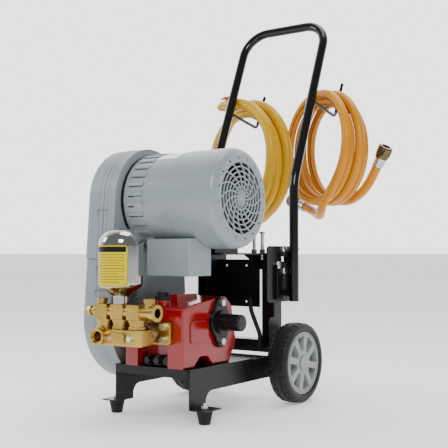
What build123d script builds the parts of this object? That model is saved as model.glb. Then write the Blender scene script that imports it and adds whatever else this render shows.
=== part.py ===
"""Wheeled sprayer cart: a belt-driven plunger pump and its electric motor on a two-wheeled steel frame.

Millimetres, +Z up. The drawing frame has X = 0 midway between the side plates, Y = 0 at the wheel
axle (feet and pump head towards -Y, handle towards +Y) and Z = 0 on the floor. Each piece is moved
at the end so that the origin is on the floor under the middle of the cart.
"""
import os
from math import asin, cos, degrees, hypot, pi, radians, sin, tan

from build123d import *

os.makedirs("parts", exist_ok=True)

# ---------------------------------------------------------------- driving dimensions
running_gap = 0.05        # radial clearance of a shaft in its bore
free_gap = 0.6            # clearance between parts that move past each other

wheel_radius = 90
wheel_width = 46
wheel_outer_x = 164
rim_radius = 69.5
axle_radius = 10

plate_outer_x = 97        # outer face of the steel side plates
plate_t = 2.5
plate_in_x = plate_outer_x - plate_t
rail_top_z = 104.5
rail_bottom_z = 58.6
leg_front_y = -343
leg_width = 54
leg_bottom_z = 27
riser_front_y = -45
riser_top_z = 192

foot_x = 115
foot_y = -318
foot_top_radius = 17
foot_bottom_radius = 11.5

post_width = 34
post_front_y = -18
post_depth = 35
post_top_z = 338
beam_bottom_z = 110
beam_top_z = 138

drive_y = -228            # motor and crankshaft axes lie one above the other
motor_z = 451
crank_z = 194
motor_radius = 102
cowl_radius = 104.5
motor_left_x = -92
seam_x = 29
cowl_right_x = 144
rotor_shaft_radius = 12
crank_radius = 14

cover_outer_x = -180
cover_split_x = -130
cover_inner_x = -98
cover_wall = 3
cover_top_radius = 112
cover_bottom_radius = 131
cover_flare = 5           # the upper part of the cover stands out by this much
cover_step_z = 327
belt_plane_x = (-151, -133.5)
belt_width = 12
motor_pulley_radius = 56
crank_pulley_radius = 106

pump_x = 10               # middle of the crankcase
pump_half_width = 75
pump_front_y = -350
pump_rear_y = -160
base_top_z = 107

manifold_y = -398
suction_z = 170
discharge_z = 220
chimney_x = (-76, -34, 8)
chamber_radius = 45
chamber_x = -35
chamber_bottom_z = 236
chamber_top_z = 386

tube_radius = 11          # handle tube
handle_x = 118
handle_low_y = 32.5
handle_low_z = 226
handle_bend_z = 504
handle_top_y = 204
handle_top_z = 916
hook_radius = 4
hook_low_y = 244
hook_tip_y = 286
hook_fall = 21
hook_rise = 90
hook_start_z = {1: 707, -1: 697}

hose_right_radius = 11
hose_left_radius = 14

manifold_front_y = -440
frame_back_y = hook_tip_y + hook_radius * hook_rise / hypot(hook_rise, hook_tip_y - hook_low_y)
middle_x = (cover_outer_x + wheel_outer_x) / 2
middle_y = (manifold_front_y + frame_back_y) / 2


def save(piece, name):
    """Move a finished piece to the cart's origin, name it and write it."""
    placed = piece.part.moved(Location((-middle_x, -middle_y, 0)))
    placed.label = name
    export_step(placed, f"parts/{name}.step")


def across(x, y, z):
    """A plane whose normal is +X, with its sketch axes along +Y and +Z."""
    return Plane(origin=(x, y, z), x_dir=(0, 1, 0), z_dir=(1, 0, 0))


def facing_front(x, y, z):
    """A plane whose normal is -Y, with its sketch axes along +X and +Z."""
    return Plane(origin=(x, y, z), x_dir=(1, 0, 0), z_dir=(0, -1, 0))


def hex_bolt(plane, shank, length, head_across, head_height):
    """A hexagon-head bolt: the plane is under the head and its normal points away from the shank."""
    with BuildPart() as bolt:
        with BuildSketch(plane):
            RegularPolygon(head_across / 2, 6, major_radius=False)
        extrude(amount=head_height)
        with BuildSketch(plane):
            Circle(shank)
        extrude(amount=-length)
    return bolt.part


# ---------------------------------------------------------------- frame
def side_plate(side):
    """One folded steel side plate: leg, rail, rear riser and the foot flange."""
    inner = side * plate_in_x
    with BuildPart() as plate:
        with BuildSketch(across(inner, 0, 0)):
            with BuildLine():
                outline = FilletPolyline(
                    (leg_front_y, leg_bottom_z), (leg_front_y, rail_top_z), (riser_front_y, rail_top_z),
                    (riser_front_y, riser_top_z), (-2, riser_top_z), (6, rail_top_z + 10),
                    (28, rail_top_z - 10), (28, rail_bottom_z),
                    (leg_front_y + leg_width, rail_bottom_z), (leg_front_y + leg_width, leg_bottom_z),
                    radius=[0.6, 3, 10, 12, 10, 8, 12, 12, 22, 0.6], close=True)
            make_face()
            with Locations((0, wheel_radius)):
                Circle(axle_radius, mode=Mode.SUBTRACT)
        extrude(amount=side * plate_t)
        with Locations((side * (plate_in_x + 20), leg_front_y + leg_width / 2, leg_bottom_z + plate_t / 2)):
            Box(40, leg_width, plate_t)
        with Locations((side * (plate_in_x - 6), leg_front_y + 60, rail_top_z - plate_t / 2)):
            Box(12, 120, plate_t)
        with Locations((side * foot_x, foot_y, leg_bottom_z)):
            Cylinder(4.2, 12, mode=Mode.SUBTRACT)
    return plate


for side, word in ((1, "right"), (-1, "left")):
    save(side_plate(side), f"side_plate_{word}")

pump_bolt_x = (-53, 73)
pump_bolt_y = (-336, -178)
base_front_y = -344.5
base_rear_y = -111.5
with BuildPart() as base_plate:
    with Locations((0, (base_front_y + base_rear_y) / 2, base_top_z - plate_t / 2)):
        Box(2 * plate_outer_x, base_rear_y - base_front_y, plate_t)
    with Locations([(x, y, base_top_z) for x in pump_bolt_x for y in pump_bolt_y]):
        Cylinder(4.6, 12, mode=Mode.SUBTRACT)
    with Locations((0, leg_front_y - 1.75, base_top_z - 9)):
        Box(2 * plate_in_x - 2, 2.5, 18)
save(base_plate, "base_plate")

with BuildPart() as rear_cross_beam:
    with Locations((0, -1, (beam_bottom_z + beam_top_z) / 2)):
        Box(2 * plate_in_x, 38, beam_top_z - beam_bottom_z)
    with Locations((0, -1, beam_bottom_z + 11)):
        Box(2 * plate_in_x, 33, 22 + 0.6, mode=Mode.SUBTRACT)
save(rear_cross_beam, "rear_cross_beam")

pad_width = 38
pad_front_y = post_front_y - 3.2
with BuildPart() as posts:
    for side in (1, -1):
        with BuildSketch(Plane.XY.offset(beam_top_z)):
            with Locations((side * (plate_in_x - post_width / 2), post_front_y + post_depth / 2)):
                RectangleRounded(post_width, post_depth, 3)
                RectangleRounded(post_width - 5, post_depth - 5, 1.5, mode=Mode.SUBTRACT)
        extrude(amount=post_top_z - beam_top_z)
        post_x = side * (plate_in_x - post_width / 2)
        with Locations((post_x, post_front_y + post_depth / 2, post_top_z - 1.5)):
            Box(post_width - 4, post_depth - 4, 3)
        pad_x = side * (plate_in_x - pad_width / 2)
        with Locations((pad_x, (pad_front_y + post_front_y) / 2, post_top_z - pad_width / 2)):
            Box(pad_width, post_front_y - pad_front_y, pad_width)
save(posts, "posts")

panel_bottom_z = 213
panel_top_z = 323
with BuildPart() as rear_panel:
    with BuildSketch(facing_front(0, post_front_y, 0)):
        with Locations((0, (panel_bottom_z + panel_top_z) / 2)):
            Rectangle(2 * (plate_in_x - 38), panel_top_z - panel_bottom_z)
        with Locations([(x, z) for x in (-35, 20) for z in (panel_bottom_z + 12, panel_top_z - 14)]):
            Circle(2.6, mode=Mode.SUBTRACT)
    extrude(amount=2.5)
    with Locations((-(plate_in_x - 39.5), post_front_y - 30, (panel_bottom_z + panel_top_z) / 2)):
        Box(2.5, 58, panel_top_z - panel_bottom_z)
save(rear_panel, "rear_panel")

bracket_low_z = 225
bracket_high_z = 354
bracket_front_y = -52
bracket_back_y = 58
bolt_places = ((20, 347, 8.5), (22, 296, 8.5), (-5, 310, 9))       # Y, Z and head radius
with BuildPart() as handle_brackets:
    for side in (1, -1):
        with BuildSketch(across(side * plate_in_x, 0, 0)):
            with Locations(((bracket_front_y + bracket_back_y) / 2, (bracket_low_z + bracket_high_z) / 2)):
                RectangleRounded(bracket_back_y - bracket_front_y, bracket_high_z - bracket_low_z, 11)
            with Locations((17, 324)):
                Rectangle(15, 12, mode=Mode.SUBTRACT)
        extrude(amount=side * plate_t)
        bracket_middle_z = (bracket_low_z + bracket_high_z) / 2
        with Locations((side * (plate_outer_x + 8), bracket_back_y - 1.25, bracket_middle_z)):
            Box(18, 2.5, bracket_high_z - bracket_low_z - 22)
        with Locations((side * (plate_outer_x + 3), -18, bracket_middle_z - 18)):
            Box(8, 2.5, bracket_high_z - bracket_low_z - 50)
        with Locations([(side * (plate_outer_x + 4.9), handle_low_y, z) for z in (246, 322)]):
            Box(11, 14, 14)
save(handle_brackets, "handle_brackets")

# ---------------------------------------------------------------- handle and hose hooks
with BuildPart() as handle_tube:
    with BuildLine():
        FilletPolyline(
            (-handle_x, handle_low_y, handle_low_z), (-handle_x, handle_low_y, handle_bend_z),
            (-handle_x, handle_top_y, handle_top_z), (handle_x, handle_top_y, handle_top_z),
            (handle_x, handle_low_y, handle_bend_z), (handle_x, handle_low_y, handle_low_z),
            radius=[120, 62, 62, 120])
    with BuildSketch(Plane.XY.offset(handle_low_z)):
        with Locations((-handle_x, handle_low_y)):
            Circle(tube_radius)
            Circle(tube_radius - 2, mode=Mode.SUBTRACT)
    sweep()
save(handle_tube, "handle_tube")

tube_slope = (handle_top_y - handle_low_y) / (handle_top_z - handle_bend_z)
with BuildPart() as hose_hooks:
    for side in (1, -1):
        start_z = hook_start_z[side]
        tube_y = handle_low_y + tube_slope * (start_z - handle_bend_z)
        tube_back_y = tube_y + tube_radius * hypot(1, tube_slope)
        with BuildLine():
            route = FilletPolyline(
                (side * handle_x, tube_back_y, start_z), (side * handle_x, hook_low_y, start_z - hook_fall),
                (side * handle_x, hook_tip_y, start_z - hook_fall + hook_rise),
                radius=[14])
        with BuildSketch(Plane(origin=route @ 0, z_dir=route % 0)):
            Circle(hook_radius)
        sweep()
save(hose_hooks, "hose_hooks")

# ---------------------------------------------------------------- axle and wheels
with BuildPart() as axle:
    with Locations(across(0, 0, wheel_radius)):
        Cylinder(axle_radius, 2 * (wheel_outer_x - 4))
save(axle, "axle")

hub_in_x = wheel_outer_x - wheel_width + 2
hub_out_x = wheel_outer_x - 3
with BuildPart() as axle_spacers:
    for side in (1, -1):
        middle = side * (plate_outer_x + hub_in_x - free_gap) / 2
        with Locations(across(middle, 0, wheel_radius)):
            Cylinder(16, hub_in_x - free_gap - plate_outer_x)
            Cylinder(axle_radius, 60, mode=Mode.SUBTRACT)
save(axle_spacers, "axle_spacers")

with BuildPart() as axle_caps:
    for side in (1, -1):
        with BuildSketch(across(side * (hub_out_x + free_gap), 0, wheel_radius)):
            Circle(17)
        extrude(amount=side * (wheel_outer_x - hub_out_x - free_gap))
        with BuildSketch(across(side * (hub_out_x + free_gap), 0, wheel_radius)):
            Circle(axle_radius)
        extrude(amount=-side * 0.01 + side * (wheel_outer_x - 4 - hub_out_x - free_gap), mode=Mode.SUBTRACT)
save(axle_caps, "axle_caps")


def wheel_hub(side):
    """A moulded eight-spoke wheel centre with a plain bore."""
    with BuildPart() as hub:
        with BuildSketch(across(side * hub_in_x, 0, wheel_radius)):
            Circle(rim_radius)
            Circle(axle_radius + running_gap, mode=Mode.SUBTRACT)
        extrude(amount=side * (hub_out_x - hub_in_x))
        for face_x, way in ((hub_out_x, -1), (hub_in_x, 1)):
            with BuildSketch(across(side * face_x, 0, wheel_radius)) as hub_pockets:
                with PolarLocations(44, 8, start_angle=11):
                    Polygon((-17, -4), (15.5, -16.5), (15.5, 16.5), (-17, 4), align=None)
                fillet(hub_pockets.vertices(), 3.5)
            extrude(amount=side * way * 15, mode=Mode.SUBTRACT)
        with BuildSketch(across(side * hub_out_x, 0, wheel_radius)):
            Circle(rim_radius - 3)
            Circle(rim_radius - 6, mode=Mode.SUBTRACT)
        extrude(amount=-side * 1.5, mode=Mode.SUBTRACT)
    return hub


def tyre(side):
    """A rubber tyre with rounded shoulders."""
    half = wheel_width / 2
    with BuildPart() as ring:
        with BuildSketch(Plane.XY.offset(wheel_radius)):
            with Locations((side * (wheel_outer_x - half), (rim_radius + wheel_radius) / 2)):
                RectangleRounded(wheel_width, wheel_radius - rim_radius, 8.5)
        revolve(axis=Axis((0, 0, wheel_radius), (1, 0, 0)))
    return ring


for side, word in ((1, "right"), (-1, "left")):
    save(wheel_hub(side), f"wheel_hub_{word}")
    save(tyre(side), f"tyre_{word}")

# ---------------------------------------------------------------- feet
with BuildPart() as rubber_feet:
    for side in (1, -1):
        with BuildSketch(Plane.XY):
            with Locations((side * foot_x, foot_y)):
                Circle(foot_bottom_radius)
        with BuildSketch(Plane.XY.offset(leg_bottom_z)):
            with Locations((side * foot_x, foot_y)):
                Circle(foot_top_radius)
        loft()
        with Locations((side * foot_x, foot_y, leg_bottom_z)):
            Cylinder(4, 24, mode=Mode.SUBTRACT)
save(rubber_feet, "rubber_feet")


# ---------------------------------------------------------------- motor
with BuildPart() as motor_shell:
    with BuildSketch(across(motor_left_x, drive_y, motor_z)):
        Circle(motor_radius)
    extrude(amount=seam_x - motor_left_x)
    fillet(motor_shell.edges().group_by(Axis.X)[0], 6)
    with BuildSketch(across(motor_left_x + 8, drive_y, motor_z)):
        Circle(motor_radius - 5)
    extrude(amount=seam_x - motor_left_x, mode=Mode.SUBTRACT)
    with BuildSketch(across(motor_left_x, drive_y, motor_z)):
        Circle(24)
    extrude(amount=20, mode=Mode.SUBTRACT)
    for step in range(30):
        turn = radians(12 * step + 6)
        with BuildSketch(across(motor_left_x + 14, drive_y, motor_z)):
            with Locations(Location((motor_radius * cos(turn), motor_radius * sin(turn)), degrees(turn))):
                RectangleRounded(5, 9, 2)
        extrude(amount=40)
        with BuildSketch(across(motor_left_x + 15.5, drive_y, motor_z)):
            slot_turn = turn + 5.2 / motor_radius
            slot_place = (motor_radius * cos(slot_turn), motor_radius * sin(slot_turn))
            with Locations(Location(slot_place, degrees(slot_turn))):
                Rectangle(16, 3)
        extrude(amount=37, mode=Mode.SUBTRACT)
save(motor_shell, "motor_shell")

grille_x = cowl_right_x
grille_rings = 7
grille_arms = 16
grille_radius = 74
grille_pitch = 10.2
grille_gap = 7.4
with BuildPart() as fan_cowl:
    with BuildSketch(across(seam_x, drive_y, motor_z)):
        Circle(cowl_radius)
    extrude(amount=grille_x - seam_x)
    fillet(fan_cowl.edges().group_by(Axis.X)[-1], 17)
    with BuildSketch(across(seam_x, drive_y, motor_z)):
        Circle(cowl_radius - 2.5)
    extrude(amount=6, mode=Mode.SUBTRACT)
    with BuildSketch(across(seam_x + 6, drive_y, motor_z)):
        Circle(cowl_radius - 6)
    extrude(amount=grille_x - seam_x - 6 - 22, mode=Mode.SUBTRACT)
    with BuildSketch(across(seam_x + 6, drive_y, motor_z)):
        Circle(cowl_radius - 20)
    extrude(amount=grille_x - seam_x - 6 - 3, mode=Mode.SUBTRACT)
    with BuildSketch(across(grille_x, drive_y, motor_z)):
        for ring in range(grille_rings):
            Circle(grille_radius - grille_pitch * ring)
            Circle(grille_radius - grille_pitch * ring - grille_gap, mode=Mode.SUBTRACT)
        for step in range(grille_arms):
            turn = 2 * pi * step / grille_arms
            with BuildLine():
                Spline([(r * cos(turn + r / 90), r * sin(turn + r / 90)) for r in (6, 40, 76)])
            trace(line_width=2.8, mode=Mode.SUBTRACT)
        Circle(6, mode=Mode.SUBTRACT)
    extrude(amount=-8, mode=Mode.SUBTRACT)
    with BuildSketch(across(grille_x, drive_y, motor_z)):
        with PolarLocations(83.5, 16, start_angle=8):
            with Locations(Location((0, 0), 55)):
                SlotOverall(9, 2.6)
    extrude(amount=-8, mode=Mode.SUBTRACT)
save(fan_cowl, "fan_cowl")

fan_left_x = 104
with BuildPart() as cooling_fan:
    with BuildSketch(across(fan_left_x, drive_y, motor_z)):
        Circle(76)
    extrude(amount=4)
    with BuildSketch(across(fan_left_x + 4, drive_y, motor_z)):
        Circle(24)
        with PolarLocations(48, 9):
            Rectangle(52, 3)
    extrude(amount=22)
    with Locations(across(fan_left_x, drive_y, motor_z)):
        Cylinder(rotor_shaft_radius, 80, mode=Mode.SUBTRACT)
save(cooling_fan, "cooling_fan")

with BuildPart() as rotor:
    with BuildSketch(across(-168, drive_y, motor_z)):
        Circle(rotor_shaft_radius)
    extrude(amount=168 + fan_left_x + 24)
    with BuildSketch(across(-66, drive_y, motor_z)):
        Circle(52)
    extrude(amount=80)
save(rotor, "rotor")

with BuildPart() as stator_core:
    with BuildSketch(across(-66, drive_y, motor_z)):
        Circle(motor_radius - 5)
        Circle(53, mode=Mode.SUBTRACT)
    extrude(amount=80)
save(stator_core, "stator_core")

with BuildPart() as motor_end_shield:
    with BuildSketch(across(seam_x, drive_y, motor_z)):
        Circle(motor_radius - 1)
        Circle(24, mode=Mode.SUBTRACT)
    extrude(amount=6)
save(motor_end_shield, "motor_end_shield")

with BuildPart() as motor_bearings:
    for left_x in (motor_left_x - 2, seam_x - 8):
        with BuildSketch(across(left_x, drive_y, motor_z)):
            Circle(24)
            Circle(rotor_shaft_radius + running_gap, mode=Mode.SUBTRACT)
        extrude(amount=14)
save(motor_bearings, "motor_bearings")

box_low_z = 290
box_high_z = 356
with BuildPart() as terminal_box:
    with BuildSketch(Plane.XY.offset(box_low_z)):
        with Locations((18, -276)):
            RectangleRounded(114, 78, 5)
    extrude(amount=box_high_z - box_low_z + 40)
    fillet(terminal_box.edges().group_by(Axis.Z)[0], 2.5)
    with Locations(across(18, drive_y, motor_z)):
        Cylinder(cowl_radius + 0.2, 200, mode=Mode.SUBTRACT)
    with BuildSketch(Plane.XY.offset(box_low_z + 4)):
        with Locations((18, -276)):
            Rectangle(106, 70)
    extrude(amount=42, mode=Mode.SUBTRACT)
    with Locations((18, -276, box_high_z + 40)):
        Box(200, 200, 2 * 40 - 22, mode=Mode.SUBTRACT)
save(terminal_box, "terminal_box")

platform_z = 338
with BuildPart() as motor_platform:
    with BuildSketch(Plane.XY.offset(platform_z - 4)):
        with Locations((-2, -121)):
            RectangleRounded(180, 196, 6)
    extrude(amount=4)
    with BuildSketch(Plane.XY.offset(platform_z)):
        with Locations((-52, drive_y + 30), (60, drive_y + 30)):
            Rectangle(30, 56)
        with Locations((-52, drive_y + 60), (60, drive_y + 60)):
            Rectangle(30, 60)
    extrude(amount=40)
    with Locations(across(0, drive_y, motor_z)):
        Cylinder(cowl_radius + 0.2, 400, mode=Mode.SUBTRACT)
save(motor_platform, "motor_platform")

strut_x = plate_in_x - post_width - 3.5
with BuildPart() as platform_struts:
    for side in (1, -1):
        with BuildSketch(across(side * strut_x, 0, 0)):
            Polygon((pad_front_y, 304), (pad_front_y, platform_z - 4), (-88, platform_z - 4), align=None)
        extrude(amount=side * 3)
save(platform_struts, "platform_struts")

with BuildPart() as tension_bolts:
    for x in (52, 74):
        rod_plane = Plane(origin=(x, -36, 330), z_dir=(0, 0, 1))
        add(hex_bolt(rod_plane.offset(52), 4, 60, 13, 5))
        with BuildSketch(rod_plane.offset(8.2)):
            RegularPolygon(6.5, 6, major_radius=False)
        extrude(amount=8)
save(tension_bolts, "tension_bolts")

# ---------------------------------------------------------------- belt drive
def two_lobes(top_radius, bottom_radius, low=crank_z, high=motor_z):
    """Sketch two circles, one over the other, joined by their outer tangents."""
    with Locations((0, high)):
        Circle(top_radius)
    with Locations((0, low)):
        Circle(bottom_radius)
    lean = asin((bottom_radius - top_radius) / (high - low))
    points = []
    for side, height, radius in ((1, low, bottom_radius), (1, high, top_radius),
                                 (-1, high, top_radius), (-1, low, bottom_radius)):
        points.append((side * radius * cos(lean), height + radius * sin(lean)))
    Polygon(*points, align=None)


def cover_shell(closed_x, open_x, edge_radius):
    """Half of the belt cover: closed at one X, open at the other."""
    way = 1 if open_x > closed_x else -1
    depth = abs(open_x - closed_x)
    with BuildPart() as shell:
        with BuildSketch(across(closed_x, drive_y, 0)):
            two_lobes(cover_top_radius, cover_bottom_radius)
        extrude(amount=way * depth)
        if edge_radius:
            closed_end = shell.faces().sort_by(Axis.X)[0 if way > 0 else -1]
            fillet(closed_end.outer_wire().edges(), edge_radius)
        with BuildSketch(across(closed_x + way * cover_wall, drive_y, 0)):
            two_lobes(cover_top_radius - cover_wall, cover_bottom_radius - cover_wall)
        extrude(amount=way * depth, mode=Mode.SUBTRACT)
    return shell


def cover_hood(closed_x, open_x, edge_radius):
    """The stepped-out upper part of one half of the cover."""
    way = 1 if open_x > closed_x else -1
    depth = abs(open_x - closed_x)
    with BuildPart() as hood:
        with BuildSketch(across(closed_x, drive_y, 0)):
            two_lobes(cover_top_radius + cover_flare, cover_bottom_radius + cover_flare)
        extrude(amount=way * depth)
        if edge_radius:
            closed_end = hood.faces().sort_by(Axis.X)[0 if way > 0 else -1]
            fillet(closed_end.outer_wire().edges(), edge_radius)
        with Locations((closed_x, drive_y, cover_step_z - 250)):
            Box(400, 500, 500, mode=Mode.SUBTRACT)
        with BuildSketch(across(closed_x + way * cover_wall, drive_y, 0)):
            two_lobes(cover_top_radius - cover_wall, cover_bottom_radius - cover_wall)
        extrude(amount=way * depth, mode=Mode.SUBTRACT)
    return hood


outer_shell = cover_shell(cover_outer_x, cover_split_x, 10)
outer_hood = cover_hood(cover_outer_x, cover_split_x, 12)
with BuildPart() as belt_cover_outer:
    add(outer_shell.part)
    add(outer_hood.part)
    with Locations((cover_outer_x + 28, drive_y - cover_bottom_radius * 0.9 - 3, 291)):
        Box(10, 4, 18)
save(belt_cover_outer, "belt_cover_outer")

inner_shell = cover_shell(cover_inner_x, cover_split_x, 0)
inner_hood = cover_hood(cover_inner_x, cover_split_x, 0)
with BuildPart() as belt_cover_inner:
    add(inner_shell.part)
    add(inner_hood.part)
    with BuildSketch(across(cover_inner_x - 10, drive_y, 0)):
        with Locations((0, motor_z)):
            Circle(40)
        with Locations((0, crank_z)):
            Circle(30)
        with Locations([(-104 + 11 * step, 268) for step in range(6)]):
            SlotOverall(52, 5, rotation=90)
    extrude(amount=20, mode=Mode.SUBTRACT)
save(belt_cover_inner, "belt_cover_inner")

with BuildPart() as cover_screws:
    for y, z in ((drive_y - 90, 160), (drive_y + 90, 160), (drive_y - 70, 480), (drive_y + 70, 480)):
        add(hex_bolt(across(cover_inner_x, y, z), 3, 12, 10, 4))
save(cover_screws, "cover_screws")


def pulley(radius, z, bore):
    """A two-groove pulley on the drive axis at height z."""
    left_x = belt_plane_x[0] - 10
    with BuildPart() as wheel:
        with BuildSketch(across(left_x, drive_y, z)):
            Circle(radius + 5)
            Circle(bore, mode=Mode.SUBTRACT)
        extrude(amount=belt_plane_x[1] - belt_plane_x[0] + 20)
        for middle in belt_plane_x:
            with BuildSketch(across(middle - belt_width / 2 - free_gap, drive_y, z)):
                Circle(radius + 6)
                Circle(radius - 6, mode=Mode.SUBTRACT)
            extrude(amount=belt_width + 2 * free_gap, mode=Mode.SUBTRACT)
    return wheel


save(pulley(motor_pulley_radius, motor_z, rotor_shaft_radius), "motor_pulley")
save(pulley(crank_pulley_radius, crank_z, crank_radius), "crank_pulley")

with BuildPart() as drive_belts:
    for middle in belt_plane_x:
        with BuildSketch(across(middle - belt_width / 2, drive_y, 0)):
            two_lobes(motor_pulley_radius + 4, crank_pulley_radius + 4)
        extrude(amount=belt_width)
        with BuildSketch(across(middle - belt_width / 2, drive_y, 0)):
            two_lobes(motor_pulley_radius - 5, crank_pulley_radius - 5)
        extrude(amount=belt_width, mode=Mode.SUBTRACT)
save(drive_belts, "drive_belts")

# ---------------------------------------------------------------- pump
case_left_x = pump_x - pump_half_width
case_right_x = pump_x + pump_half_width
with BuildPart() as crankcase:
    with BuildSketch(across(case_left_x, 0, 0)):
        with BuildLine():
            FilletPolyline(
                (pump_front_y, base_top_z), (pump_front_y, 227), (-300, 236), (-200, 247), (-176, 226),
                (pump_rear_y, 150), (-186, base_top_z), (-248, base_top_z), (-266, 126), (-292, 126),
                (-312, base_top_z),
                radius=[0.6, 6, 30, 14, 14, 20, 4, 4, 14, 14, 4], close=True)
        make_face()
    extrude(amount=2 * pump_half_width)
    rims = crankcase.faces().filter_by(Plane.YZ)
    for rim in rims:
        fillet([edge for edge in rim.outer_wire().edges() if edge.center().Z > base_top_z + 20], 4)
    with BuildSketch(facing_front(pump_x, pump_front_y, 0)):
        with Locations((-2, 130)):
            Rectangle(78, 2 * (130 - base_top_z))
    extrude(amount=-34, mode=Mode.SUBTRACT)
    with BuildSketch(across(case_right_x, 0, 0)):
        with Locations((-296, 178)):
            RectangleRounded(60, 44, 8)
    extrude(amount=2.5)
    with Locations((pump_x, -256, 241)):
        Box(30, 70, 22)
    with Locations((pump_x, -318, 236)):
        Cylinder(16, 10)
    with Locations(across(pump_x, drive_y, crank_z)):
        Cylinder(crank_radius + 20, 2 * pump_half_width - 16, mode=Mode.SUBTRACT)
        Cylinder(crank_radius + running_gap, 200, mode=Mode.SUBTRACT)
    with Locations([(x, y, base_top_z) for x in pump_bolt_x for y in pump_bolt_y]):
        Cylinder(4.6, 30, mode=Mode.SUBTRACT)
save(crankcase, "crankcase")

with BuildPart() as crankshaft:
    with BuildSketch(across(-168, drive_y, crank_z)):
        Circle(crank_radius)
    extrude(amount=168 + 132)
    for x, turn in ((-34, 0), (8, 120), (50, 240)):
        with BuildSketch(across(x - 8, drive_y, crank_z)):
            with Locations((7 * cos(radians(turn)), 7 * sin(radians(turn)))):
                Circle(24)
        extrude(amount=16)
save(crankshaft, "crankshaft")

flange_x = case_right_x
with BuildPart() as bearing_flange:
    with BuildSketch(across(flange_x, drive_y, crank_z)):
        Circle(34)
        with Locations((0, 40), (0, -40)):
            Circle(13)
        Polygon((-33, 8), (-12, 45), (12, 45), (33, 8), (33, -8), (12, -45), (-12, -45), (-33, -8), align=None)
    extrude(amount=9)
    fillet(bearing_flange.edges().group_by(Axis.X)[-1], 2)
    with BuildSketch(across(flange_x + 9, drive_y, crank_z)):
        Circle(24)
    extrude(amount=6)
    with BuildSketch(across(flange_x + 15, drive_y, crank_z)):
        Circle(17.5)
    extrude(amount=46)
    fillet(bearing_flange.edges().group_by(Axis.X)[-1], 4)
    with BuildSketch(across(flange_x, drive_y, crank_z)):
        Circle(crank_radius + running_gap + 0.6)
    extrude(amount=54, mode=Mode.SUBTRACT)
save(bearing_flange, "bearing_flange")

with BuildPart() as oil_cap:
    cap_base = Plane.XY.offset(241 + free_gap)
    with BuildSketch(cap_base):
        with Locations((pump_x, -318)):
            Circle(15)
            with PolarLocations(14, 6):
                Circle(4)
    extrude(amount=9)
    fillet(oil_cap.edges().group_by(Axis.Z)[-1], 2)
    with Locations((pump_x, -318, 253)):
        Box(30, 7, 9)
        Cylinder(8, 7)
save(oil_cap, "oil_cap")

with BuildPart() as grease_cups:
    for x in (-17, 8, 33):
        with BuildSketch(facing_front(x, pump_front_y + 34, 118.5)):
            Circle(10.5)
        extrude(amount=16)
        with BuildSketch(facing_front(x, pump_front_y + 18, 118.5)):
            RegularPolygon(7, 6, major_radius=False)
        extrude(amount=7)
save(grease_cups, "grease_cups")

head_flange_y = pump_front_y
with BuildPart() as head_flange:
    with BuildSketch(facing_front(-14, head_flange_y, 178)):
        RectangleRounded(152, 46, 7)
    extrude(amount=12)
    fillet(head_flange.edges().group_by(Axis.Y)[0], 2)
save(head_flange, "head_flange")

with BuildPart() as plunger_cylinders:
    for x in chimney_x:
        with BuildSketch(facing_front(x, head_flange_y - 12, 178)):
            Circle(16)
        extrude(amount=14)
        with BuildSketch(facing_front(x, head_flange_y - 12, 178)):
            Circle(19)
        extrude(amount=5)
save(plunger_cylinders, "plunger_cylinders")

body_front_y = -424
body_back_y = head_flange_y - 26
with BuildPart() as suction_manifold:
    with Locations((-27, (body_front_y + body_back_y) / 2, suction_z)):
        Box(126, body_back_y - body_front_y, 32)
    chamfer(suction_manifold.edges().filter_by(Axis.Z), 7)
    fillet(suction_manifold.edges().group_by(Axis.Z)[0], 3)
    with BuildSketch(facing_front(-62, body_front_y, suction_z + 2)):
        Circle(17)
    extrude(amount=body_front_y - manifold_front_y)
    with BuildSketch(facing_front(-62, manifold_front_y, suction_z + 2)):
        Circle(10.5)
    extrude(amount=-34, mode=Mode.SUBTRACT)
    with BuildSketch(facing_front(-62, manifold_front_y, suction_z + 2)):
        Circle(13.5)
    extrude(amount=-4, mode=Mode.SUBTRACT)
    with BuildSketch(facing_front(-18, body_front_y, suction_z)):
        RectangleRounded(34, 20, 5)
    extrude(amount=4)
    with BuildSketch(across(-90, manifold_y, suction_z)):
        RegularPolygon(12, 6, major_radius=False)
    extrude(amount=-14)
    fillet(suction_manifold.edges().group_by(Axis.X)[0], 1)
save(suction_manifold, "suction_manifold")

chimney_low_z = suction_z + 16
chimney_high_z = discharge_z - 15
with BuildPart() as valve_chimneys:
    for x in chimney_x:
        with BuildSketch(Plane.XY.offset(chimney_low_z)):
            with Locations((x, manifold_y)):
                Circle(16)
        extrude(amount=chimney_high_z - chimney_low_z)
        with BuildSketch(Plane.XY.offset(chimney_low_z)):
            with Locations((x, manifold_y)):
                Circle(18.5)
        extrude(amount=6)
        with BuildSketch(Plane.XY.offset(chimney_high_z - 5)):
            with Locations((x, manifold_y)):
                Circle(18)
        extrude(amount=5)
save(valve_chimneys, "valve_chimneys")

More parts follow.
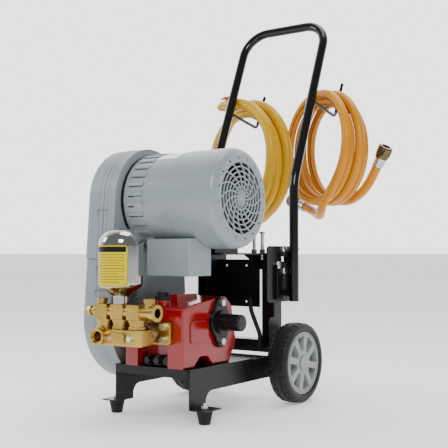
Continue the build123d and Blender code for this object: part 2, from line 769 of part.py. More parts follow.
outlet_face_x = 60
with BuildPart() as discharge_manifold:
    with BuildSketch(across(-98, manifold_y, discharge_z)):
        Circle(13.8)
    extrude(amount=outlet_face_x + 98 - 12)
    for x in chimney_x:
        with Locations((x, manifold_y, discharge_z)):
            Box(31, 30, 30)
    with BuildSketch(across(outlet_face_x - 14, manifold_y, discharge_z)):
        Circle(17)
    extrude(amount=14)
    with BuildSketch(across(outlet_face_x, manifold_y, discharge_z)):
        Circle(9.5)
    extrude(amount=-36, mode=Mode.SUBTRACT)
    with BuildSketch(Plane.XY.offset(discharge_z)):
        with Locations((40, manifold_y)):
            Circle(11)
    extrude(amount=20, mode=Mode.ADD)
    with BuildSketch(across(outlet_face_x, manifold_y, discharge_z)):
        Circle(9.5)
    extrude(amount=-36, mode=Mode.SUBTRACT)
    with BuildSketch(Plane.XY.offset(discharge_z)):
        with Locations((-85, manifold_y)):
            Circle(10)
    extrude(amount=27)
    with BuildSketch(Plane.XY.offset(discharge_z + 21)):
        with Locations((-85, manifold_y)):
            Circle(11.5)
    extrude(amount=5)
    with BuildSketch(Plane.XY.offset(discharge_z)):
        with Locations((chamber_x, manifold_y)):
            Circle(14.3)
    extrude(amount=chamber_bottom_z - discharge_z)
    with BuildSketch(across(-98, manifold_y, discharge_z)):
        Circle(7)
    extrude(amount=-14)
save(discharge_manifold, "discharge_manifold")

with BuildPart() as outlet_plugs:
    with BuildSketch(Plane.XY.offset(discharge_z + 20)):
        with Locations((40, manifold_y)):
            RegularPolygon(11, 6, major_radius=False)
    extrude(amount=8)
    fillet(outlet_plugs.edges().group_by(Axis.Z)[-1], 1)
    with BuildSketch(across(-112, manifold_y, discharge_z)):
        RegularPolygon(9, 6, major_radius=False)
    extrude(amount=-9)
save(outlet_plugs, "outlet_plugs")

with BuildPart() as pump_head_bolts:
    for z in (crank_z - 40, crank_z + 40):
        add(hex_bolt(across(flange_x + 9, drive_y, z), 4, 9, 13, 5.5))
    for x, z in ((46, 191), (46, 165)):
        add(hex_bolt(facing_front(x, head_flange_y - 12, z), 4, 12, 13, 7))
    for x in (-40, 12):
        add(hex_bolt(facing_front(x, body_front_y, suction_z), 3, 6, 11, 5))
save(pump_head_bolts, "pump_head_bolts")

with BuildPart() as air_chamber:
    with BuildSketch(Plane.XZ.offset(-manifold_y)) as chamber_profile:
        with BuildLine():
            FilletPolyline(
                (chamber_x, chamber_bottom_z), (chamber_x + 16, chamber_bottom_z),
                (chamber_x + 16, chamber_bottom_z + 16), (chamber_x + chamber_radius, chamber_bottom_z + 36),
                (chamber_x + chamber_radius, chamber_top_z), (chamber_x, chamber_top_z),
                radius=[0.2, 0.8, 3, 12, 34, 0.2], close=True)
        make_face()
    revolve(axis=Axis((chamber_x, manifold_y, 0), (0, 0, 1)))
save(air_chamber, "air_chamber")

with BuildPart() as chassis_bolts:
    for side in (1, -1):
        top = Plane(origin=(side * foot_x, foot_y, leg_bottom_z + plate_t), z_dir=(0, 0, 1))
        add(hex_bolt(top, 4, 14, 13, 6.5))
        with Locations((side * foot_x, foot_y, leg_bottom_z + plate_t + 9)):
            Cylinder(4, 6)
    for x in pump_bolt_x:
        for y in pump_bolt_y:
            with BuildSketch(Plane.XY.offset(base_top_z - plate_t - 7)):
                with Locations((x, y)):
                    RegularPolygon(7, 6, major_radius=False)
            extrude(amount=7)
            with BuildSketch(Plane.XY.offset(base_top_z - plate_t - 12)):
                with Locations((x, y)):
                    Circle(4)
            extrude(amount=26)
save(chassis_bolts, "chassis_bolts")

# ---------------------------------------------------------------- handle bolts
with BuildPart() as handle_bolts:
    for side in (1, -1):
        for y, z, head_radius in bolt_places:
            under_head = (side * (plate_outer_x + 0.2), y, z)
            with BuildSketch(Plane(origin=under_head, x_dir=(0, 1, 0), z_dir=(side, 0, 0))):
                Circle(head_radius)
            extrude(amount=6)
    fillet(handle_bolts.edges().filter_by(GeomType.CIRCLE).group_by(Axis.X)[-1], 4)
    fillet(handle_bolts.edges().filter_by(GeomType.CIRCLE).group_by(Axis.X)[0], 4)
    for side in (1, -1):
        for y, z, head_radius in bolt_places[:2]:
            with BuildSketch(Plane(origin=(side * 104, bracket_back_y, z), z_dir=(0, 1, 0))):
                Circle(4)
            extrude(amount=22)
save(handle_bolts, "handle_bolts")

# ---------------------------------------------------------------- motor lead
with BuildPart() as motor_lead:
    with BuildLine():
        lead = FilletPolyline((39, -34, 236), (42, -34, 206), (66, -34, 152), (66, -34, 118), radius=[24, 30])
    with BuildSketch(Plane(origin=lead @ 0, z_dir=lead % 0)):
        Circle(5)
    sweep()
save(motor_lead, "motor_lead")

# ---------------------------------------------------------------- hoses
def coil_frame(centre, azimuth):
    """The plane of a hanging coil, seen from the front: its normal lies flat and points forward."""
    back = (cos(radians(azimuth)), sin(radians(azimuth)), 0)
    return Plane(origin=centre, x_dir=(back[1], -back[0], 0), z_dir=(-back[0], -back[1], 0))


def coil_solid(plane, inner_radius, outer_radius, top_half, bottom_half):
    """The outer shape of a hanging coil: a ring that is narrower at the top than at the bottom."""
    reach = outer_radius + 5
    with BuildPart() as ring:
        with BuildSketch(plane):
            Circle(outer_radius)
            Circle(inner_radius, mode=Mode.SUBTRACT)
        extrude(amount=bottom_half + 5, both=True)
        with BuildSketch(Plane(origin=plane.origin, x_dir=-plane.z_dir, z_dir=plane.x_dir)):
            Polygon((-top_half, reach), (top_half, reach), (bottom_half, -reach), (-bottom_half, -reach),
                    align=None)
        extrude(amount=reach, both=True, mode=Mode.INTERSECT)
    return ring


def hose_run(points, radius, label):
    """A plain tube along straight runs that are joined by the largest arcs that fit."""
    corners = [Vector(*point) for point in points]
    bends = []
    for before, corner, after in zip(corners, corners[1:], corners[2:]):
        turn = radians((corner - before).get_angle(after - corner))
        shorter = min((corner - before).length, (after - corner).length)
        bends.append(0.45 * shorter / tan(turn / 2))
    with BuildPart() as run:
        with BuildLine():
            path = FilletPolyline(*points, radius=bends)
        with BuildSketch(Plane(origin=path @ 0, z_dir=path % 0)):
            Circle(radius)
        sweep()
    length = path.length
    print(label, "bend radii", [round(bend) for bend in bends], "length", round(length),
          "volume ratio", round(run.part.volume / (pi * radius ** 2 * length), 4))
    return run


def ferrule(base, hose_radius, length):
    """The crimped steel sleeve on a hose end, from the base plane outwards."""
    with BuildPart() as sleeve:
        with BuildSketch(base):
            Circle(hose_radius + 2.5)
        extrude(amount=length)
        for groove in (0.3, 0.6):
            with BuildSketch(base.offset(length * groove)):
                Circle(hose_radius + 3)
                Circle(hose_radius + 1.2, mode=Mode.SUBTRACT)
            extrude(amount=3, mode=Mode.SUBTRACT)
    return sleeve


def swivel_nut(base, nut_radius, length, bore):
    """A hexagon union nut with a round collar, open at its outer end."""
    with BuildPart() as nut:
        with BuildSketch(base):
            Circle(nut_radius)
        extrude(amount=length)
        with BuildSketch(base.offset(length * 0.3)):
            RegularPolygon(nut_radius + 1, 6, major_radius=False)
        extrude(amount=length * 0.6)
        with BuildSketch(base.offset(length)):
            Circle(bore)
        extrude(amount=-length * 0.6, mode=Mode.SUBTRACT)
    return nut


# coil coordinates are (along the coil to the right, up, towards the front)
right_coil = coil_frame((handle_x, 196, 597), 61.5)
left_coil = coil_frame((-handle_x, 190, 577), 68.5)
save(coil_solid(right_coil, 112, 150, 32, 54), "hose_coil_right")
with BuildPart() as hose_coil_left:
    add(coil_solid(left_coil, 122, 170, 35, 50).part)
    notch_plane = Plane(origin=left_coil.from_local_coords((0, 0, 19)), x_dir=left_coil.x_dir,
                        z_dir=left_coil.z_dir)
    with BuildSketch(notch_plane):
        with Locations((-56, 150)):
            Rectangle(120, 120)
    extrude(amount=60, mode=Mode.SUBTRACT)
save(hose_coil_left, "hose_coil_left")

right_entry = [(-118.6, -138, -13), (-93.7, -147.4, -18), (-62, -160, -12), (-25, -166, 4), (12, -163, 26),
               (46, -144, 44), (78, -109, 44)]
right_tail = [(-20, -130, -46), (24, -131, -50), (66, -116, -55), (101, -87, -60), (124, -50, -64)]
left_tail = [(28, -144, -38), (-12, -151, -52), (-50, -152, -66), (-86, -144, -77)]
for coil, points, radius, name in ((right_coil, right_entry, hose_right_radius, "hose_entry_right"),
                                   (right_coil, right_tail, hose_right_radius, "hose_tail_right"),
                                   (left_coil, left_tail, hose_left_radius, "hose_tail_left")):
    placed = [coil.from_local_coords(point) for point in points]
    save(hose_run([tuple(point) for point in placed], radius, name), name)


def end_plane(coil, points, forward=True):
    """The plane across the end of a hose, its normal pointing out of the hose."""
    tip, near = (points[-1], points[-2]) if forward else (points[0], points[1])
    tip = coil.from_local_coords(tip)
    near = coil.from_local_coords(near)
    return Plane(origin=tip, z_dir=tip - near)


right_entry_end = end_plane(right_coil, right_entry, forward=False)
right_tail_end = end_plane(right_coil, right_tail)
left_tail_end = end_plane(left_coil, left_tail)
hose_ends = ((right_entry_end, hose_right_radius, 26, 34), (right_tail_end, hose_right_radius, 22, 30),
             (left_tail_end, hose_left_radius, 24, 30))
with BuildPart() as hose_ferrules:
    for end, radius, sleeve_length, nut_length in hose_ends:
        add(ferrule(end, radius, sleeve_length).part)
save(hose_ferrules, "hose_ferrules")
with BuildPart() as union_nuts:
    for end, radius, sleeve_length, nut_length in hose_ends:
        add(swivel_nut(end.offset(sleeve_length), radius + 5, nut_length, radius - 1).part)
save(union_nuts, "union_nuts")

# the ball valve sits on the upper end of the left hose, pointing along the coil to the left
valve_start = left_coil.from_local_coords((4, 154, 36))
valve_way = -left_coil.x_dir
valve_plane = Plane(origin=valve_start, z_dir=valve_way)
with BuildPart() as ball_valve:
    with BuildSketch(valve_plane):
        Circle(hose_left_radius + 2.5)
    extrude(amount=18)
    with BuildSketch(valve_plane.offset(18)):
        RegularPolygon(13, 6, major_radius=False)
    extrude(amount=12)
    with BuildSketch(valve_plane.offset(30)):
        Circle(12)
    extrude(amount=22)
    with BuildSketch(valve_plane.offset(52)):
        RegularPolygon(12, 6, major_radius=False)
    extrude(amount=10)
    with BuildSketch(valve_plane.offset(62)):
        Circle(9)
        Circle(6, mode=Mode.SUBTRACT)
    extrude(amount=12)
    stem_base = valve_start + valve_way * 41
    with BuildSketch(Plane(origin=stem_base, z_dir=(0, 0, 1))):
        Circle(5)
    extrude(amount=17)
save(ball_valve, "ball_valve")

lever_z = valve_start.Z + 17 + free_gap
with BuildPart() as valve_lever:
    with BuildSketch(Plane(origin=(stem_base.X, stem_base.Y, lever_z), x_dir=valve_way, z_dir=(0, 0, 1))):
        SlotOverall(46, 13)
        Circle(11)
    extrude(amount=5)
    fillet(valve_lever.edges().group_by(Axis.Z)[-1], 1.5)
save(valve_lever, "valve_lever")
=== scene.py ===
"""Looks of the wheeled sprayer cart: materials, tyres, hoses, labels and studio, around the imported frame."""
from math import asin, cos, pi, radians, sin

import bmesh
import bpy
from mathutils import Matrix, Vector


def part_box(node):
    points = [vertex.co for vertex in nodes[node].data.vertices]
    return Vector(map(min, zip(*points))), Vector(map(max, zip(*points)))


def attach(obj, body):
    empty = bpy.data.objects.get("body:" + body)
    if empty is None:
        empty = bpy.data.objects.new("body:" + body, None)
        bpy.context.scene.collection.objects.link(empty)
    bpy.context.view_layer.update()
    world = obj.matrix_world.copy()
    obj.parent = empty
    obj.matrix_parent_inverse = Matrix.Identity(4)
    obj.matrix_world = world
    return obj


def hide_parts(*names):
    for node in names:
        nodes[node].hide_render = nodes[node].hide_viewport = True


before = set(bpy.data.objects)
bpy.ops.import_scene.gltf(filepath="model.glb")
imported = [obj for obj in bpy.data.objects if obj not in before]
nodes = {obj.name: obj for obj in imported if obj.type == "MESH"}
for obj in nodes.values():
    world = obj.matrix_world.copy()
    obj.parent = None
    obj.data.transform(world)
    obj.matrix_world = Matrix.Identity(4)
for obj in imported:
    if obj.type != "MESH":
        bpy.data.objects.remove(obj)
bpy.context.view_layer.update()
scene = bpy.context.scene

# ---------------------------------------------------------------- places, in metres, from the frame
wheel_low, wheel_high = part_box("tyre_right")
wheel_radius = (wheel_high[2] - wheel_low[2]) / 2
wheel_centre_y = (wheel_low[1] + wheel_high[1]) / 2
wheel_width = wheel_high[0] - wheel_low[0]
chamber_low, chamber_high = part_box("air_chamber")
chamber_x = (chamber_low[0] + chamber_high[0]) / 2
chamber_y = (chamber_low[1] + chamber_high[1]) / 2
chamber_radius = (chamber_high[0] - chamber_low[0]) / 2
cowl_low, cowl_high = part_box("fan_cowl")
motor_y = (cowl_low[1] + cowl_high[1]) / 2
motor_z = (cowl_low[2] + cowl_high[2]) / 2
cowl_radius = (cowl_high[2] - cowl_low[2]) / 2
cover_split_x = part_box("belt_cover_outer")[1][0]
cover_motor_side_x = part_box("belt_cover_inner")[1][0]


# ---------------------------------------------------------------- camera, light and floor
surround_front = 0.32     # brightness of the surround on the camera's side
surround_back = 2.7       # and behind the cart
towards_back = (-0.566, 0.824, 0)   # level direction from the camera to the cart


def place_camera():
    """The photograph's view: low, from the front right."""
    data = bpy.data.cameras.new("camera")
    data.lens = 67.9
    data.sensor_width = 36
    camera = bpy.data.objects.new("camera", data)
    camera.location = (1.1074, -1.6071, 0.3363)
    camera.rotation_euler = (radians(92.014), 0, radians(34.51))
    scene.collection.objects.link(camera)
    scene.camera = camera


def area_light(name, location, target, size, power):
    """A square soft light at location, aimed at target."""
    data = bpy.data.lights.new(name, "AREA")
    data.size = size
    data.energy = power
    light = bpy.data.objects.new(name, data)
    light.location = location
    aim = Vector(target) - Vector(location)
    light.rotation_euler = aim.to_track_quat("-Z", "Y").to_euler()
    scene.collection.objects.link(light)


def make_world():
    """A surround that is bright behind the cart and darker in front, so that metal has something to reflect."""
    world = bpy.data.worlds.new("studio")
    world.use_nodes = True
    tree = world.node_tree
    background = tree.nodes["Background"]
    background.inputs["Color"].default_value = (1.0, 1.0, 1.0, 1)
    place = tree.nodes.new("ShaderNodeTexCoord")
    towards = tree.nodes.new("ShaderNodeVectorMath")
    towards.operation = "DOT_PRODUCT"
    towards.inputs[1].default_value = towards_back
    tree.links.new(place.outputs["Generated"], towards.inputs[0])
    level = tree.nodes.new("ShaderNodeMapRange")
    level.interpolation_type = "SMOOTHSTEP"
    level.inputs["From Min"].default_value = -0.1
    level.inputs["From Max"].default_value = 0.85
    level.inputs["To Min"].default_value = surround_front
    level.inputs["To Max"].default_value = surround_back
    tree.links.new(towards.outputs["Value"], level.inputs["Value"])
    tree.links.new(level.outputs["Result"], background.inputs["Strength"])
    scene.world = world


def make_studio():
    """A pale floor, the surround and soft lights."""
    make_world()
    middle = (0, 0, 0.45)
    area_light("key", (1.5, -2.1, 1.9), middle, 0.9, 40)
    area_light("fill", (-2.1, -1.3, 1.5), middle, 0.8, 20)
    area_light("top", (0.3, 0.2, 2.8), middle, 1.4, 30)
    bpy.ops.mesh.primitive_plane_add(size=1200, location=(0, 0, -0.0005))
    floor = bpy.context.object
    floor.name = "floor"
    paper = make_material("floor_paper", (0.95, 0.95, 0.95), 0.9, grain=0.02, scale=20, mottle=0.005)
    glow = paper.node_tree.nodes["Principled BSDF"]
    glow.inputs["Emission Color"].default_value = (1, 1, 1, 1)
    glow.inputs["Emission Strength"].default_value = 0.35
    floor.data.materials.append(paper)


# ---------------------------------------------------------------- materials
def make_material(name, colour, roughness, metallic=0.0, coat=0.0, grain=0.05, scale=60.0, bump=0.0,
                  bump_scale=600.0, edge=0.0006, mottle=0.06, specular=0.5):
    """A surface with slow colour drift, fine grain, uneven gloss, a fine bump and softened edges."""
    material = bpy.data.materials.new(name)
    material.use_nodes = True
    tree = material.node_tree
    links = tree.links
    shader = tree.nodes["Principled BSDF"]
    shader.inputs["Metallic"].default_value = metallic
    shader.inputs["Coat Weight"].default_value = coat
    shader.inputs["Coat Roughness"].default_value = 0.06
    shader.inputs["Specular IOR Level"].default_value = specular
    place = tree.nodes.new("ShaderNodeTexCoord")

    drift = tree.nodes.new("ShaderNodeTexNoise")
    drift.inputs["Scale"].default_value = scale / 6
    drift.inputs["Detail"].default_value = 3
    links.new(place.outputs["Object"], drift.inputs["Vector"])
    fine = tree.nodes.new("ShaderNodeTexNoise")
    fine.inputs["Scale"].default_value = scale * 8
    fine.inputs["Detail"].default_value = 4
    links.new(place.outputs["Object"], fine.inputs["Vector"])

    blend = tree.nodes.new("ShaderNodeMix")
    blend.inputs[0].default_value = 0.35
    links.new(drift.outputs["Fac"], blend.inputs[2])
    links.new(fine.outputs["Fac"], blend.inputs[3])
    ramp = tree.nodes.new("ShaderNodeValToRGB")
    dark = [channel * (1 - 2.2 * mottle) for channel in colour]
    light = [min(1.0, channel * (1 + 1.6 * mottle)) for channel in colour]
    ramp.color_ramp.elements[0].position = 0.3
    ramp.color_ramp.elements[0].color = (*dark, 1)
    ramp.color_ramp.elements[1].position = 0.7
    ramp.color_ramp.elements[1].color = (*light, 1)
    links.new(blend.outputs[0], ramp.inputs["Fac"])
    links.new(ramp.outputs["Color"], shader.inputs["Base Color"])

    gloss = tree.nodes.new("ShaderNodeMapRange")
    gloss.inputs["From Min"].default_value = 0.3
    gloss.inputs["From Max"].default_value = 0.7
    gloss.inputs["To Min"].default_value = max(0.02, roughness - grain)
    gloss.inputs["To Max"].default_value = min(1.0, roughness + grain)
    links.new(fine.outputs["Fac"], gloss.inputs["Value"])
    links.new(gloss.outputs["Result"], shader.inputs["Roughness"])

    soft_edge = tree.nodes.new("ShaderNodeBevel")
    soft_edge.samples = 4
    soft_edge.inputs["Radius"].default_value = edge
    texture = tree.nodes.new("ShaderNodeTexNoise")
    texture.inputs["Scale"].default_value = bump_scale
    texture.inputs["Detail"].default_value = 3
    links.new(place.outputs["Object"], texture.inputs["Vector"])
    relief = tree.nodes.new("ShaderNodeBump")
    relief.inputs["Strength"].default_value = bump
    relief.inputs["Distance"].default_value = 0.0004
    links.new(texture.outputs["Fac"], relief.inputs["Height"])
    links.new(soft_edge.outputs["Normal"], relief.inputs["Normal"])
    links.new(relief.outputs["Normal"], shader.inputs["Normal"])
    return material


def paint_nodes():
    """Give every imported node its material."""
    cover = make_material("cover_plastic", (0.25, 0.295, 0.31), 0.42, grain=0.06, bump=0.12, bump_scale=1400,
                          mottle=0.02)
    motor = make_material("motor_enamel", (0.25, 0.295, 0.312), 0.3, coat=0.15, grain=0.05, bump=0.1,
                          bump_scale=700, mottle=0.02)
    black = make_material("powder_black", (0.004, 0.004, 0.005), 0.3, grain=0.07, bump=0.3, bump_scale=1600,
                          mottle=0.1, specular=0.3)
    gloss_black = make_material("tube_black", (0.003, 0.003, 0.004), 0.16, coat=0.15, grain=0.04, bump=0.05,
                                mottle=0.08, specular=0.35)
    hub = make_material("hub_plastic", (0.30, 0.335, 0.33), 0.45, grain=0.06, bump=0.1, bump_scale=1300,
                        mottle=0.03)
    rubber = make_material("foot_rubber", (0.006, 0.006, 0.006), 0.55, bump=0.3, bump_scale=900, specular=0.3)
    zinc = make_material("zinc_plate", (0.62, 0.63, 0.64), 0.3, metallic=1, grain=0.12, scale=120, mottle=0.12)
    steel = make_material("ground_steel", (0.5, 0.5, 0.5), 0.28, metallic=1, grain=0.08, mottle=0.06)
    iron = make_material("cast_iron", (0.12, 0.12, 0.125), 0.55, metallic=0.7, bump=0.6, bump_scale=500)
    plastic = make_material("black_plastic", (0.006, 0.006, 0.007), 0.32, grain=0.06, bump=0.15, mottle=0.1,
                            specular=0.35)
    red = make_material("pump_enamel", (0.28, 0.0003, 0.002), 0.16, coat=0.25, grain=0.05, scale=40, bump=0.5,
                        bump_scale=90, edge=0.0015, mottle=0.1)
    brass = make_material("forged_brass", (0.50, 0.335, 0.085), 0.27, metallic=1, grain=0.1, scale=110, bump=0.5,
                          bump_scale=650, edge=0.001, mottle=0.14)
    bronze = make_material("dark_bronze", (0.15, 0.115, 0.055), 0.24, metallic=1, grain=0.1, mottle=0.25,
                           edge=0.0008)
    stainless = make_material("polished_stainless", (0.40, 0.395, 0.38), 0.1, metallic=1, grain=0.03,
                              mottle=0.03)
    lever = make_material("lever_enamel", (0.5, 0.02, 0.04), 0.28, coat=0.5)
    groups = {
        cover: ["belt_cover_outer", "belt_cover_inner", "terminal_box"],
        motor: ["motor_shell", "fan_cowl", "motor_end_shield"],
        black: ["side_plate_right", "side_plate_left", "base_plate", "rear_cross_beam", "posts", "rear_panel",
                "handle_brackets", "motor_platform", "platform_struts", "bearing_flange"],
        gloss_black: ["handle_tube", "hose_hooks"],
        hub: ["wheel_hub_right", "wheel_hub_left", "axle_caps"],
        rubber: ["rubber_feet", "drive_belts", "motor_lead"],
        zinc: ["chassis_bolts", "tension_bolts", "handle_bolts", "pump_head_bolts", "cover_screws",
               "hose_ferrules", "axle_spacers"],
        steel: ["axle", "rotor", "motor_bearings", "crankshaft", "plunger_cylinders", "stator_core"],
        iron: ["crank_pulley", "motor_pulley"],
        plastic: ["cooling_fan", "oil_cap", "grease_cups"],
        red: ["crankcase"],
        brass: ["head_flange", "suction_manifold", "valve_chimneys", "discharge_manifold", "outlet_plugs",
                "ball_valve"],
        bronze: ["union_nuts"],
        stainless: ["air_chamber"],
        lever: ["valve_lever"],
    }
    for material, names in groups.items():
        for name in names:
            mesh = nodes[name].data
            mesh.materials.clear()
            mesh.materials.append(material)


# ---------------------------------------------------------------- mesh helpers
def mesh_object(name, vertices, faces, material, smooth=True):
    """A mesh piece made from vertices and faces."""
    mesh = bpy.data.meshes.new(name)
    mesh.from_pydata(vertices, [], faces)
    build = bmesh.new()
    build.from_mesh(mesh)
    bmesh.ops.recalc_face_normals(build, faces=build.faces)
    build.to_mesh(mesh)
    build.free()
    mesh.materials.append(material)
    for face in mesh.polygons:
        face.use_smooth = smooth
    piece = bpy.data.objects.new(name, mesh)
    scene.collection.objects.link(piece)
    return piece


def curve_object(name, points, radius, material, resolution):
    """An open round NURBS tube with the points as its control points."""
    data = bpy.data.curves.new(name, "CURVE")
    data.dimensions = "3D"
    data.bevel_depth = radius
    data.bevel_resolution = 6
    data.use_fill_caps = True
    data.resolution_u = resolution
    spline = data.splines.new("NURBS")
    spline.points.add(len(points) - 1)
    for target, point in zip(spline.points, points):
        target.co = (*point, 1)
    spline.order_u = 3
    spline.use_endpoint_u = True
    data.materials.append(material)
    piece = bpy.data.objects.new(name, data)
    scene.collection.objects.link(piece)
    return piece


# ---------------------------------------------------------------- hoses
class CoilFrame:
    """A hanging coil's own axes: to the right along it, up, and towards the front."""

    def __init__(self, centre, azimuth):
        back = Vector((cos(radians(azimuth)), sin(radians(azimuth)), 0))
        self.centre = Vector(centre)
        self.right = Vector((back.y, -back.x, 0))
        self.front = -back

    def point(self, along, up, front):
        """A place in the row frame, from coil coordinates in millimetres."""
        offset = self.right * along + Vector((0, 0, up)) + self.front * front
        return self.centre + offset / 1000


right_coil = CoilFrame((0.126, 0.27119, 0.597), 61.5)
left_coil = CoilFrame((-0.110, 0.26519, 0.577), 68.5)
right_entry = [(-118.6, -138, -13), (-93.7, -147.4, -18), (-62, -160, -12), (-25, -166, 4), (12, -163, 26),
               (46, -144, 44)]
right_tail = [(24, -131, -50), (66, -116, -55), (101, -87, -60), (124, -50, -64)]
left_entry = [(4, 154, 36), (45, 147, 35), (84, 128, 31)]
left_tail = [(28, -144, -38), (-12, -151, -52), (-50, -152, -66), (-86, -144, -77)]
steps_per_turn = 16


def right_turn(turn):
    """A point of the right coil; turn 0 is at the bottom and the hose climbs on the right."""
    angle = 2 * pi * turn
    swing = cos(pi * (turn - 0.5))
    radius = 131.4 + 8 * swing
    back = 13 * (turn - 2) * (1 + 0.75 * abs(cos(angle / 2)))
    return radius * sin(angle), -radius * cos(angle) - 1.6 + swing, -back


def left_turn(turn):
    """A point of the left coil; turn 0 is at the top and the hose goes down on the right."""
    angle = 2 * pi * turn
    swing = cos(pi * turn)
    radius = 144 + 7 * swing
    back = 17 * (turn - 1.25) * (1 + 0.7 * abs(sin(angle / 2)))
    return radius * sin(angle), radius * cos(angle) + 1.5 + 4.5 * swing, -back


def turns(place, first, last):
    """Points along a coil from one turn count to another."""
    count = round((last - first) * steps_per_turn)
    return [place(first + (last - first) * step / count) for step in range(count + 1)]


def make_hose(name, coil, route, radius, colour, stripe_colour, replaced):
    """A hose and its fine stripe."""
    skin = make_material(name + "_skin", colour, 0.33, grain=0.06, scale=25, bump=0.12, bump_scale=260,
                         mottle=0.07, specular=0.3)
    hose = curve_object(name, [coil.point(*place) for place in route], radius, skin, resolution=8)
    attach(hose, "root")
    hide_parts(*replaced)
    tuple(coil.point(*route[0]))
    stripe_skin = make_material(name + "_stripe", stripe_colour, 0.4)
    inset = radius * 1000 - 0.3
    lines = []
    for along, up, front in route:
        reach = max(1.0, (along ** 2 + up ** 2) ** 0.5)
        inward = 0.7 * inset / reach
        lines.append(coil.point(along * (1 - inward), up * (1 - inward), front + 0.714 * inset))
    stripe = curve_object(name + "_stripe", lines, 0.0013, stripe_skin, resolution=8)
    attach(stripe, "root")


def make_hoses():
    """Both wound hoses."""
    right_route = right_entry + turns(right_turn, 0.13, 3.95) + right_tail
    make_hose("spray_hose_right", right_coil, right_route, 0.01075, (0.62, 0.235, 0.0), (0.07, 0.03, 0.02),
              ["hose_coil_right", "hose_entry_right", "hose_tail_right"])
    left_route = left_entry + turns(left_turn, 0.16, 2.40) + left_tail
    make_hose("spray_hose_left", left_coil, left_route, 0.0135, (0.64, 0.36, 0.0), (0.34, 0.15, 0.0),
              ["hose_coil_left", "hose_tail_left"])


# ---------------------------------------------------------------- tyres
def make_tyre(side):
    """A tyre with staggered shoulder blocks, a centre rib and a raised sidewall ring."""
    word = "right" if side > 0 else "left"
    low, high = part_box(f"tyre_{word}")
    middle_x = (low[0] + high[0]) / 2
    half = wheel_width / 2
    blocks = 26
    samples = 8
    # profile points: across the tyre as a share of its half width, radius drop in millimetres, and tread or not
    profile = [(-0.80, 20.2, 0), (-0.93, 18.0, 0), (-0.99, 14.5, 0), (-1.0, 11.0, 0), (-0.985, 8.0, 0),
               (-0.94, 4.6, 0), (-0.86, 2.4, 1), (-0.72, 1.0, 1), (-0.42, 0.25, 1), (-0.36, 0.2, 0),
               (-0.34, 1.9, 0), (-0.26, 1.9, 0), (-0.24, 0.1, 0), (0.24, 0.1, 0), (0.26, 1.9, 0), (0.34, 1.9, 0),
               (0.36, 0.2, 0), (0.42, 0.25, 2), (0.72, 1.0, 2), (0.86, 2.4, 2), (0.94, 4.6, 0), (0.985, 8.0, 0),
               (1.0, 11.0, 0), (0.99, 14.5, 0), (0.93, 18.0, 0), (0.80, 20.2, 0)]
    count = blocks * samples
    vertices = []
    for step in range(count):
        angle = 2 * pi * (step + 0.12 * (-1) ** step) / count
        place = step % samples
        for across, drop, tread in profile:
            groove = (tread == 1 and place in (0, 1)) or (tread == 2 and place in (4, 5))
            radius = wheel_radius - (drop + (1.8 if groove else 0.0)) / 1000
            vertices.append((middle_x + across * half, wheel_centre_y + radius * sin(angle),
                             wheel_radius + radius * cos(angle)))
    width = len(profile)
    faces = []
    for step in range(count):
        after = (step + 1) % count
        for column in range(width):
            beside = (column + 1) % width
            faces.append((step * width + column, step * width + beside, after * width + beside,
                          after * width + column))
    rubber = make_material(f"tyre_rubber_{word}", (0.007, 0.007, 0.0075), 0.5, grain=0.08, bump=0.25,
                           bump_scale=800, mottle=0.12, edge=0.0004, specular=0.35)
    tyre = mesh_object(f"treaded_tyre_{word}", vertices, faces, rubber, smooth=False)
    soften = tyre.modifiers.new("soften", "BEVEL")
    soften.width = 0.0003
    soften.segments = 1
    soften.limit_method = "ANGLE"
    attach(tyre, f"wheel_{word}")
    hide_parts(f"tyre_{word}")


# ---------------------------------------------------------------- labels
def wrapped_patch(name, material, axis_point, axis, radius, angles, span, thickness=0.0002, corner=0.0):
    """A thin sheet wrapped on a cylinder; angles in degrees, span along the axis in metres."""
    columns = 36
    rows = 14
    vertices = []
    start, end = radians(angles[0]), radians(angles[1])
    arc = (end - start) * radius
    for layer in (0, 1):
        reach = radius + layer * thickness
        for row in range(rows + 1):
            lift = row / rows
            height = span[0] + (span[1] - span[0]) * lift
            edge = max(0.0, min(height - span[0], span[1] - height))
            cut = corner - (corner ** 2 - (corner - edge) ** 2) ** 0.5 if edge < corner else 0.0
            trim = cut / arc
            for column in range(columns + 1):
                share = trim + (1 - 2 * trim) * column / columns
                angle = start + (end - start) * share
                first, second = reach * cos(angle), reach * sin(angle)
                if axis == "z":
                    vertices.append((axis_point[0] + first, axis_point[1] + second, height))
                else:
                    vertices.append((height, axis_point[1] + first, axis_point[2] + second))
    faces = []
    size = (rows + 1) * (columns + 1)
    for row in range(rows):
        for column in range(columns):
            first = row * (columns + 1) + column
            square = (first, first + 1, first + columns + 2, first + columns + 1)
            faces.append(square)
            faces.append(tuple(size + index for index in reversed(square)))
    rim = (list(range(columns + 1))
           + [row * (columns + 1) + columns for row in range(1, rows + 1)]
           + [rows * (columns + 1) + column for column in range(columns - 1, -1, -1)]
           + [row * (columns + 1) for row in range(rows - 1, 0, -1)])
    for first, second in zip(rim, rim[1:] + rim[:1]):
        faces.append((first, second, size + second, size + first))
    piece = mesh_object(name, vertices, faces, material)
    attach(piece, "root")


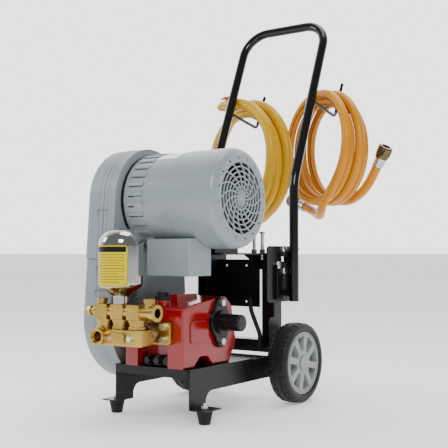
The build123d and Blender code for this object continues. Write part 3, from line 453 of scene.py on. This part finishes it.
def make_labels():
    """A plain caution-coloured label on the air chamber and a blank plate on the motor."""
    yellow = make_material("label_yellow", (0.66, 0.52, 0.0), 0.3, mottle=0.02, specular=0.25)
    ink = make_material("label_ink", (0.004, 0.004, 0.004), 0.4, specular=0.2)
    rule = make_material("label_rule", (0.14, 0.11, 0.002), 0.4, mottle=0.05, specular=0.2)
    white = make_material("label_white", (0.86, 0.87, 0.88), 0.3, coat=0.3, mottle=0.02)
    grey = make_material("label_grey", (0.22, 0.30, 0.42), 0.4, mottle=0.05)
    axis = (chamber_x, chamber_y, 0)
    on_chamber = chamber_radius + 0.0001
    low, high = 0.2715, 0.3530
    left, right = -160, -31
    wrapped_patch("chamber_label", yellow, axis, "z", on_chamber, (left, right), (low, high), corner=0.004)
    wrapped_patch("chamber_label_band", ink, axis, "z", on_chamber + 0.0002, (left + 3, right - 5),
                  (high - 0.0135, high - 0.003), thickness=0.0001, corner=0.002)
    for line in range(11):
        top = high - 0.018 - 0.0054 * line
        short = 22 if line in (3, 7, 10) else 9
        wrapped_patch(f"chamber_label_line_{line}", rule, axis, "z", on_chamber + 0.0002,
                      (left + 8, right - short), (top - 0.0011, top), thickness=0.0001)
    plate_axis = (0, motor_y, motor_z)
    on_cowl = cowl_radius - 0.0024
    wrapped_patch("motor_plate", white, plate_axis, "x", on_cowl + 0.0002, (92, 124), (-0.028, 0.028),
                  corner=0.003)
    for line in range(3):
        wrapped_patch(f"motor_plate_line_{line}", grey, plate_axis, "x", on_cowl + 0.0004,
                      (101 + 5.5 * line, 102.2 + 5.5 * line), (-0.022, 0.004 + 0.006 * line), thickness=0.0001)


# ---------------------------------------------------------------- cover and motor trim, drawn as painted shade in seams and gaps
def lobe_outline(top_radius, bottom_radius, crank_z, step_z, x, upper):
    """Points along the belt cover's outline above or below its step: two lobes and the straight sides."""
    lean = asin((bottom_radius - top_radius) / (motor_z - crank_z))
    count = 26
    if upper:
        centre_z, radius, first, last = motor_z, top_radius, lean, pi - lean
    else:
        centre_z, radius, first, last = crank_z, bottom_radius, lean, -pi - lean
    angles = [first + (last - first) * step / count for step in range(count + 1)]
    lobe = [(motor_y + radius * cos(angle), centre_z + radius * sin(angle)) for angle in angles]
    top = (top_radius * cos(lean), motor_z + top_radius * sin(lean))
    bottom = (bottom_radius * cos(lean), crank_z + bottom_radius * sin(lean))
    share = (step_z - bottom[1]) / (top[1] - bottom[1])
    reach = bottom[0] + (top[0] - bottom[0]) * share
    outline = [(motor_y + reach, step_z), *lobe, (motor_y - reach, step_z)]
    return [(x, y, z) for y, z in outline]


def make_trim():
    """Painted shade along the belt cover's seam and moulded lines and round its clips, and a ring of painted
    shade in the gap between the cover and the motor.
    """
    # dark lines of painted shade in the cover's seam and moulded grooves; the cover is the same grey plastic
    # there
    groove_shade_skin = make_material("cover_groove_shade", (0.10, 0.12, 0.13), 0.5, mottle=0.03)
    crank_low, crank_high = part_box("crank_pulley")
    crank_z = (crank_low[2] + crank_high[2]) / 2
    step_z = 0.327            # height of the step in the cover's outline
    flare = 0.005             # how much wider the cover is above the step
    top_radius, bottom_radius = 0.112, 0.131
    clip_heights = (0.250, 0.300, 0.420)
    # radius of the ring of painted shade in the gap between the cover and the motor
    gap_shade_radius = 0.0995
    split_x = cover_split_x
    seams = ((split_x, 0.0007), (split_x - 0.012, 0.0004), (split_x + 0.010, 0.0004))
    for row, (x, thickness) in enumerate(seams):
        for upper in (True, False):
            grow = flare if upper else 0.0
            outline = lobe_outline(top_radius + grow, bottom_radius + grow, crank_z, step_z, x, upper)
            part = "upper" if upper else "lower"
            seam = curve_object(f"cover_seam_shade_{row}_{part}", outline, thickness, groove_shade_skin, resolution=4)
            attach(seam, "root")
    for row, height in enumerate(clip_heights):
        grow = flare if height > step_z else 0.0
        side = lobe_outline(top_radius + grow, bottom_radius + grow, crank_z, step_z, split_x, True)
        tangent, foot = side[-2:]
        share = (height - foot[2]) / (tangent[2] - foot[2])
        front_y = foot[1] + (tangent[1] - foot[1]) * share
        loop = [(split_x - 0.016, front_y, height - 0.009), (split_x - 0.016, front_y, height + 0.009),
                (split_x + 0.012, front_y, height + 0.009)]
        sharp_loop = [point for point in loop for _ in range(2)]
        # the clip outlines are painted shade at the clips' edges
        clip = curve_object(f"cover_clip_shade_{row}", sharp_loop, 0.0006, groove_shade_skin, resolution=3)
        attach(clip, "root")
    # a near-black ring of painted shade in the gap between the belt cover and the motor shell
    gap_shade_skin = make_material("gap_shade_black", (0.005, 0.005, 0.005), 0.6, bump=0.3, specular=0.3)
    shell_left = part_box("motor_shell")[0][0]
    wrapped_patch("cover_gap_shade", gap_shade_skin, (0, motor_y, motor_z), "x", gap_shade_radius, (0.2, 359.8),
                  (cover_motor_side_x - 0.0005, shell_left + 0.0025), thickness=0.001)


place_camera()
make_hoses()
paint_nodes()
make_studio()
for wheel_side in (1, -1):
    make_tyre(wheel_side)
make_labels()
make_trim()
